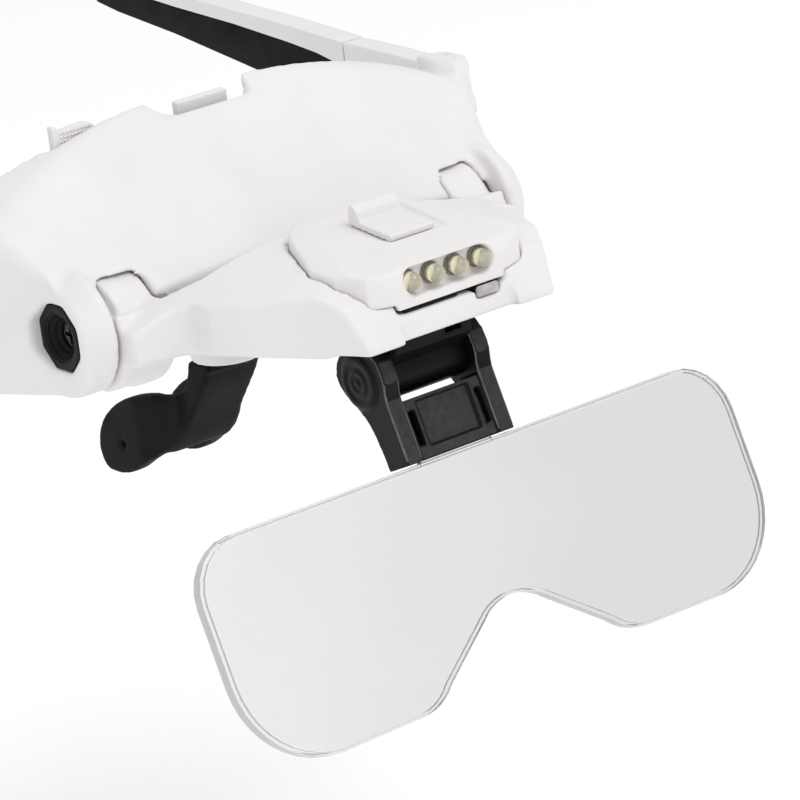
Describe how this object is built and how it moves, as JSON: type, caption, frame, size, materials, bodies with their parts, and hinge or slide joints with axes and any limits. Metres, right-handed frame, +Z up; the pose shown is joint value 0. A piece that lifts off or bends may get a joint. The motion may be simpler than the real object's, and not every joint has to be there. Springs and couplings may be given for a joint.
{
  "type": "lighted headband magnifier",
  "caption": "Head-worn magnifier: white visor on folding arms, tilting front bar with a diode lamp, clear lens plate on a flip-up bracket.",
  "frame": {"origin": "where the middle of the brow pad meets the forehead", "axes": "+X to the wearer's left, +Y back towards the wearer, +Z up"},
  "size_m": [0.128, 0.2031, 0.0903],
  "materials": {
    "white_plastic": "fine satin moulded white",
    "black_plastic": "satin black moulded plastic",
    "soft_black": "matt soft black",
    "foam": "matt black foam with a fine skin",
    "clear_acrylic": "polished clear acrylic",
    "diode_resin": "clear resin dome over a yellow phosphor chip",
    "steel": "plated steel",
    "cell_case": "bright nickel steel",
    "circuit_board": "green lacquer"
  },
  "bodies": {
    "head_frame": {"visor_shell": "white_plastic", "inner_frame": "white_plastic", "brow_carrier": "white_plastic", "brow_pad": "foam", "nose_base": "white_plastic", "nose_rest": "soft_black", "frame_screws": "steel", "left_pivot_bush": "black_plastic", "right_pivot_bush": "black_plastic", "left_pivot_screw": "steel", "right_pivot_screw": "steel", "arm_hinge_pins": "steel"},
    "brow_release": {"release_slider": "white_plastic"},
    "left_temple": {"left_arm_stub": "white_plastic", "left_arm": "white_plastic", "left_arm_lining": "soft_black"},
    "right_temple": {"right_arm_stub": "white_plastic", "right_arm": "white_plastic", "right_arm_lining": "soft_black"},
    "lamp_bar": {"front_bar": "white_plastic", "lamp_housing": "white_plastic", "lamp_base": "black_plastic", "lamp_board": "circuit_board", "light_diodes": "diode_resin", "coin_cells": "cell_case", "cell_spring": "steel", "cell_clip": "steel", "cell_door": "white_plastic", "switch_body": "black_plastic", "hinge_block": "black_plastic", "hinge_screws": "steel", "hinge_pin": "steel", "detent_spring": "steel"},
    "lamp_switch": {"switch_knob": "white_plastic"},
    "lens_holder": {"lens_bracket": "black_plastic"},
    "lens": {"lens_plate": "clear_acrylic"}
  },
  "joints": [
    {"name": "bar_tilt", "type": "hinge", "parent": "head_frame", "child": "lamp_bar", "pos_m": [0, -0.0235, -0.0174], "axis": [-1, 0, 0], "range_deg": [-8, 20]},
    {"name": "lens_flip", "type": "hinge", "parent": "lamp_bar", "child": "lens_holder", "pos_m": [0, -0.0564, -0.0294], "axis": [-1, 0, 0], "range_deg": [-24, 55]},
    {"name": "lens_change", "type": "slide", "parent": "lens_holder", "child": "lens", "axis": [0, -0.3746, -0.9272], "range_m": [0, 0.0095]},
    {"name": "switch_slide", "type": "slide", "parent": "lamp_bar", "child": "lamp_switch", "axis": [0, 0.993, 0.1184], "range_m": [0, 0.003]},
    {"name": "brow_release_slide", "type": "slide", "parent": "head_frame", "child": "brow_release", "axis": [1, 0, 0], "range_m": [-0.001, 0.001]},
    {"name": "left_arm_fold", "type": "hinge", "parent": "head_frame", "child": "left_temple", "pos_m": [0.06, 0.00766, -0.005], "axis": [0, 0, 1], "range_deg": [0, 88]},
    {"name": "right_arm_fold", "type": "hinge", "parent": "head_frame", "child": "right_temple", "pos_m": [-0.06, 0.00766, -0.005], "axis": [0, 0, 1], "range_deg": [-88, 0]}
  ]
}
